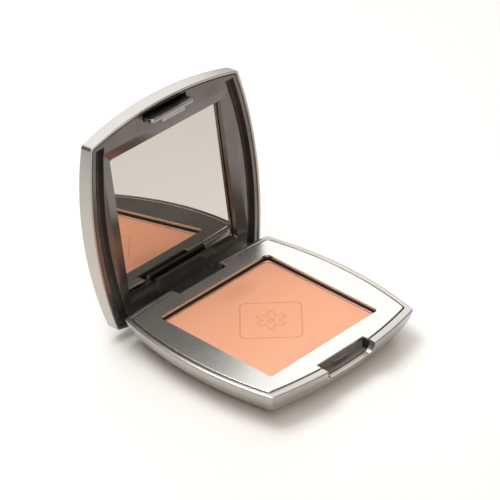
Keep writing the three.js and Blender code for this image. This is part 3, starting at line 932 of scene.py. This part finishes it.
def press_cake():
    places = grid_places()
    mesh = bmesh.new()
    deepness = mesh.verts.layers.float.new(STAMP)
    rows = []
    for y in places:
        rows.append([])
        for x in places:
            at = squared_in(x, y, POWDER_ROUND)
            vertex = mesh.verts.new((*at, cake_height(*at)))
            vertex[deepness] = pressed(*at)
            rows[-1].append(vertex)
    for lower, upper in zip(rows, rows[1:]):
        for here in range(len(places) - 1):
            mesh.faces.new((lower[here], lower[here + 1], upper[here + 1], upper[here]))
    rim = rows[0][:-1] + [row[-1] for row in rows[:-1]] + rows[-1][:0:-1] + [row[0] for row in rows[:0:-1]]
    flat_half = CAKE_HALF - CAKE_EASE
    whole = cake_high.z - cake_low.z
    for grow, drop in ((0.6 * CAKE_EASE, 0.35 * CAKE_EASE), (CAKE_EASE, CAKE_EASE), (CAKE_EASE, whole)):
        scale = (flat_half + grow) / flat_half
        below = [mesh.verts.new((v.co.x * scale, v.co.y * scale, cake_high.z - drop)) for v in rim]
        for here in range(len(rim)):
            there = (here + 1) % len(rim)
            mesh.faces.new((below[here], below[there], rim[there], rim[here]))
        rim = below
    mesh.faces.new(rim[::-1])
    return as_object("pressed_powder", mesh)


cake = press_cake()
settle(cake, "base", "pressed_powder", powder.material, "powder_cake")

# %% [markdown]
# ## The latch
# The lid's hook snaps under a small ridge on a catch. The catch is an L of dark plastic that slides
# back a millimetre against two springs. How much of its length each spring keeps when the catch is
# back is worked out and printed.

# %% Make the catch
CATCH_LIP = 0.8
NIB_WIDTH = 6.6
NIB_REACH = 0.8
NIB_HEIGHT = 0.75
TOOTH_HEIGHT = 0.8
CATCH_FLOOR = 1.2

catch = block("catch_slider", both(catch_high.x), (CATCH_FACE, catch_high.y), (catch_low.z, catch_high.z))
catch_floor = block(
    "catch_floor", both(catch_high.x), (shell_low.y, catch_high.y), (catch_low.z, catch_low.z + CATCH_FLOOR),
)
catch_span = prism(
    "catch_span", outline(BASE_BOWS, wider(RIMS, CATCH_LIP)), catch_low.z - OVER, catch_high.z + OVER,
)
combine(catch, "UNION", combine(catch_floor, "INTERSECT", catch_span))
nib_base = hook_low.z + TOOTH_HEIGHT + GAP
nib = block(
    "nib", both(NIB_WIDTH / 2), (CATCH_FACE - NIB_REACH, CATCH_FACE + GAP), (nib_base, nib_base + NIB_HEIGHT),
)
combine(catch, "UNION", nib)
soften(catch, 0.14)
settle(catch, "catch", "smoke_moulding", catch_dark, "latch_catch")

# %% Wind the springs
WIRE = 0.2
TURNS = 5
STEPS_PER_TURN = 28
CLOSED_END = 0.7
WIRE_SIDES = 12


def wind_spring(name, node):
    """A compression spring along Y whose end turns lie close together."""
    low, high = box(node)
    middle = (low + high) / 2
    coil = (high.z - low.z) / 2 - WIRE
    start, length = low.y + WIRE, high.y - low.y - 2 * WIRE
    steps = TURNS * STEPS_PER_TURN
    centres = []
    for step in range(steps + 1):
        share = step / steps
        angle = 2 * math.pi * TURNS * share
        rise = share - CLOSED_END * math.sin(2 * math.pi * share) / (2 * math.pi)
        around = Vector((coil * math.cos(angle), 0, coil * math.sin(angle)))
        centres.append(Vector((middle.x, start + length * rise, middle.z)) + around)
    rings = []
    for step, centre in enumerate(centres):
        ahead = centres[min(step + 1, steps)] - centres[max(step - 1, 0)]
        outward = Vector((centre.x - middle.x, 0, centre.z - middle.z)).normalized()
        sideways = ahead.normalized().cross(outward)
        rings.append([
            centre + WIRE * (math.cos(turn) * outward + math.sin(turn) * sideways)
            for turn in (2 * math.pi * part / WIRE_SIDES for part in range(WIRE_SIDES))
        ])
    spring = loft(name, rings)
    mesh = bmesh.new()
    mesh.from_mesh(spring.data)
    bmesh.ops.recalc_face_normals(mesh, faces=mesh.faces)
    mesh.to_mesh(spring.data)
    mesh.free()
    settle(spring, "base", "spring_steel", steel, node)
    kept = 1 - CATCH_TRAVEL / (high.y - low.y)
    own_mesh(spring)
    print(name, "keeps", round(kept, 3), "of its length when the catch is back")


wind_spring("left_spring", "catch_spring_left")
wind_spring("right_spring", "catch_spring_right")

# %% [markdown]
# ## The lid
# The lid's back is a very shallow dome and its wall is upright, with a thin even rim. It is lofted
# from the inside of the back, out to the wall, down over the rim and back up to the dome's
# top. Many rings make the dome, so that a reflection runs over it without a kink.

# %% Loft the lid
LID_RIM = 1
LID_SKIN = 1.1
LID_ROUND = 0.2
BACK_ROUND = 0.9
CORNER_FALL = 3.75
DOME_RINGS = 14
RIM_LEVEL = lid_low.z
CENTRE_LEVEL = lid_high.z


def dome(x, y):
    """Height of the lid's back over a place, with the lid closed."""
    return CENTRE_LEVEL - CORNER_FALL * (x * x + y * y) / (2 * HALF * HALF)


def shrunk(points, share):
    return [point * share for point in points]


def lid_rings():
    inside, wall = outline(LID_BOWS, LID_RIM), outline(LID_BOWS, 0)
    shares = [step / DOME_RINGS for step in range(1, DOME_RINGS)]
    rings = [ring(shrunk(inside, share), lambda x, y: dome(x, y) - LID_SKIN) for share in shares]
    rings.append(ring(inside, lambda x, y: dome(x, y) - LID_SKIN))
    rings.append(ring(inside, RIM_LEVEL + LID_ROUND))
    rings.append(ring(outline(LID_BOWS, LID_RIM - LID_ROUND), RIM_LEVEL))
    for step in range(5):
        angle = math.pi / 2 * step / 4
        inset = LID_ROUND * (1 - math.sin(angle))
        rings.append(ring(outline(LID_BOWS, inset), RIM_LEVEL + LID_ROUND * (1 - math.cos(angle))))
    for step in range(7):
        angle = math.pi / 2 * step / 6
        drop = BACK_ROUND * (1 - math.sin(angle))
        edge = outline(LID_BOWS, BACK_ROUND * (1 - math.cos(angle)))
        rings.append(ring(edge, lambda x, y, drop=drop: dome(x, y) - drop))
    return rings + [ring(shrunk(edge, share), dome) for share in reversed(shares)]


lid = loft("lid_cover", lid_rings())
settle(lid, "lid", "silver_shell", shade_darkened_case_silver, "lid_shell")

# %% [markdown]
# ## The mirror surround
# The surround is the dark moulding inside the lid. It is a plate with a bowed outline, a sloping
# recess for the mirror, a long bowed channel beside each side, a slot that holds the hook, and at
# the hinge a tab over the mirror's edge and the knuckle that turns on the pin. In Blender it
# is built as it would be machined: join what stands out, then cut what is sunk in.

# %% Make the surround
FACE_SETBACK = 0.25
FACE = RIM_LEVEL + FACE_SETBACK
PLATE = 3.75
MIRROR_FACE = glass_low.z
MIRROR_BACK = glass_high.z
TAPE = 0.25
FRAME_FLOOR = MIRROR_BACK + TAPE + 2 * GAP
FRAME_WALL = 1.5
FRAME_SKIN = 0.6
MIRROR_STEP = 1.95
MIRROR_SLOPE = 4.4
MIRROR_ROUND = 1
MIRROR_MIDDLE = (0, (glass_low.y + glass_high.y) / 2)
MIRROR_WIDTH = glass_high.x - glass_low.x
MIRROR_HEIGHT = glass_high.y - glass_low.y
CHANNEL_INSET = 2.8
CHANNEL_WIDTH = 3.6
CHANNEL_REACH = 33
CHANNEL_DEPTH = 3
TAB_WIDTH = 27
TAB_REACH = 1.9
TAB_THICKNESS = 1.6
SINK = 1
HOOK_PLAY = 1.2
HOOK_THICKNESS = 1.4
TOOTH_REACH = 1.2
HOOK_REAR = hook_high.y - TOOTH_REACH


def channel_cutter(side):
    """A bowed strip that follows the lid's right or left side."""
    centre, radius, _ = side_arc(LID_BOWS, side)
    outer_arc, inner_arc = radius - CHANNEL_INSET, radius - CHANNEL_INSET - CHANNEL_WIDTH
    points = []
    for reach, direction in ((outer_arc, 1), (inner_arc, -1)):
        sweep = direction * math.asin(CHANNEL_REACH / reach)
        for step in range(SIDE_STEPS + 1):
            angle = sweep * (2 * step / SIDE_STEPS - 1)
            points.append(reach * Vector((math.cos(angle), math.sin(angle))))
    facing = 1 if side == 1 else -1
    points = [centre + facing * point for point in points]
    return prism("channel", points, FACE - OVER, FACE + CHANNEL_DEPTH)


def mirror_recess():
    def window(extra, height):
        size = (MIRROR_WIDTH + 2 * extra, MIRROR_HEIGHT + 2 * extra)
        return ring(rounded_rectangle(*size, MIRROR_ROUND, MIRROR_MIDDLE), height)

    return loft("recess", [
        window(MIRROR_SLOPE, FACE - OVER),
        window(MIRROR_SLOPE, FACE),
        window(FITTED, MIRROR_FACE - MIRROR_STEP),
        window(FITTED, FRAME_FLOOR),
    ])


surround = prism("mirror_surround", outline(LID_BOWS, LID_RIM + FITTED), FACE, FACE + PLATE)
seat_x, seat_y = MIRROR_WIDTH / 2 + FRAME_WALL, MIRROR_HEIGHT / 2 + FRAME_WALL
seat = block(
    "seat",
    both(seat_x),
    (MIRROR_MIDDLE[1] - seat_y, MIRROR_MIDDLE[1] + seat_y),
    (FACE + SINK, FRAME_FLOOR + FRAME_SKIN),
)
hook_slot = block(
    "hook_slot",
    both(hook_high.x + FITTED),
    (HOOK_REAR - HOOK_THICKNESS - HOOK_PLAY, HOOK_REAR + FITTED),
    (FACE - OVER, hook_high.z + FITTED),
)
combine(surround, "UNION", seat)
combine(surround, "DIFFERENCE", mirror_recess(), channel_cutter(1), channel_cutter(3), hook_slot)
tab = block(
    "tab",
    both(TAB_WIDTH / 2),
    (glass_high.y - TAB_REACH, glass_high.y + MIRROR_SLOPE + SINK),
    (FACE, FACE + TAB_THICKNESS),
)
knuckle_span = both(NOTCH_HALF - SWING)
web = block("web", knuckle_span, (PIVOT.y - WEB_FRONT, PIVOT.y + WEB_REAR), (PIVOT.z, FACE + SINK))
combine(surround, "UNION", tab, web, rod("knuckle", KNUCKLE, knuckle_span))
combine(surround, "DIFFERENCE", rod("bore", BORE, both(NOTCH_HALF)))
soften(surround)
settle(surround, "lid", "smoke_moulding", smoke, "mirror_frame")

# %% [markdown]
# ## The mirror and the hook
# The mirror is a plate of glass with a narrow bevel ground round its face: the bevel shows as a
# bright line. The hook is a bent strip of bright metal with round corners and a small tooth.

# %% Make the mirror and the hook
GLASS_BEVEL = 0.45


def glass_ring(inset, height):
    size = (MIRROR_WIDTH - 2 * inset, MIRROR_HEIGHT - 2 * inset)
    return ring(rounded_rectangle(*size, MIRROR_ROUND, MIRROR_MIDDLE), height)


glass = loft("mirror_plate", [
    glass_ring(GLASS_BEVEL, MIRROR_FACE),
    glass_ring(0, MIRROR_FACE + GLASS_BEVEL / 2),
    glass_ring(0, MIRROR_BACK),
])
settle(glass, "lid", "mirror_glass", mirror.material, "mirror_glass")

HOOK_ROUND = 1.2
TOOTH_WIDTH = 11
hook_size = (hook_high.x - hook_low.x, hook_high.z - hook_low.z)
hook_shape = rounded_rectangle(*hook_size, HOOK_ROUND, (0, (hook_low.z + hook_high.z) / 2))
hook = upright_plate("snap_hook", hook_shape, (HOOK_REAR - HOOK_THICKNESS, HOOK_REAR))
tooth = block(
    "tooth",
    both(TOOTH_WIDTH / 2),
    (HOOK_REAR - HOOK_THICKNESS / 2, hook_high.y),
    (hook_low.z, hook_low.z + TOOTH_HEIGHT),
)
combine(hook, "UNION", tooth)
soften(hook, 0.3, 4)
settle(hook, "lid", "hook_chrome", chrome, "lid_hook")

# %% [markdown]
# ## Pieces that stay as they are
# The tray, the pin, the glue, the tape and the label already have their true shape. Each one gets a
# finish, and the tray and the pin get a small bevel for the light to catch.

# %% Finish the remaining pieces
for node, finish, edge in (
    ("inner_tray", black, 0.12),
    ("hinge_pin", steel, 0.12),
    ("pan_glue", adhesive, 0.06),
    ("mirror_tape", adhesive, 0.05),
    ("base_label", label.material, 0.04),
):
    kept_piece = frame["nodes"][node]
    kept_piece.material_slots[0].link = "OBJECT"
    kept_piece.material_slots[0].material = finish
    step = kept_piece.modifiers.new("soft_edges", "BEVEL")
    step.limit_method = "ANGLE"
    step.angle_limit = SHARP
    step.width = edge * MM
    step.segments = 2
    print(node, "is finished with", finish.name)

# %% [markdown]
# ## The studio
# The case stands on white paper. A large soft light stands behind it to the right, so that the deck
# mirrors a white field. A small one above and a little behind draws the shadow forward, a wide one
# overhead whitens the paper and the powder, and a weak warm one in front lifts the shadows.
# The rest of the room is almost dark, so the deck's rear corner stays deep grey.

# %% Set the floor and the lights
FLOOR_HALF = 4
paper = Finish("studio_paper", {"Specular IOR Level": 0.2})
fibres = paper.grain(0.4, 4)
paper.surface(base_color=paper.blend(fibres, (0.88, 0.87, 0.855), (0.92, 0.915, 0.905)))
paper.surface(roughness=0.6 + fibres * 0.1)
floor_mesh = bmesh.new()
bmesh.ops.create_grid(floor_mesh, x_segments=8, y_segments=8, size=FLOOR_HALF)
floor = as_object("floor", floor_mesh)
floor.data.materials.append(paper.material)


def soft_light(name, place, size, watts, tone=(1, 1, 1)):
    """A rectangular soft light that faces the case."""
    lamp = bpy.data.lights.new(name, "AREA")
    lamp.shape = "RECTANGLE"
    lamp.size, lamp.size_y = size
    lamp.energy = watts
    lamp.color = tone
    made = bpy.data.objects.new(name, lamp)
    facing = (Vector((0, 0, 0.02)) - Vector(place)).to_track_quat("-Z", "Y")
    made.matrix_world = Matrix.Translation(place) @ facing.to_matrix().to_4x4()
    bpy.context.scene.collection.objects.link(made)


soft_light("backdrop_light", (0.62, 0.62, 0.6), (1.3, 1), 6)
soft_light("top_light", (-0.05, 0.16, 0.5), (0.3, 0.3), 1.5)
soft_light("fill_light", (-0.12, -0.12, 0.9), (1, 1), 4.6, (1, 0.97, 0.93))
soft_light("front_light", (-0.35, -0.7, 0.4), (0.6, 0.6), 2.2, (1, 0.88, 0.74))

room = bpy.data.worlds.new("room")
room.use_nodes = True
room.node_tree.nodes["Background"].inputs["Color"].default_value = (1, 0.9, 0.78, 1)
room.node_tree.nodes["Background"].inputs["Strength"].default_value = 0.07
bpy.context.scene.world = room
bpy.context.scene.view_settings.view_transform = "Standard"
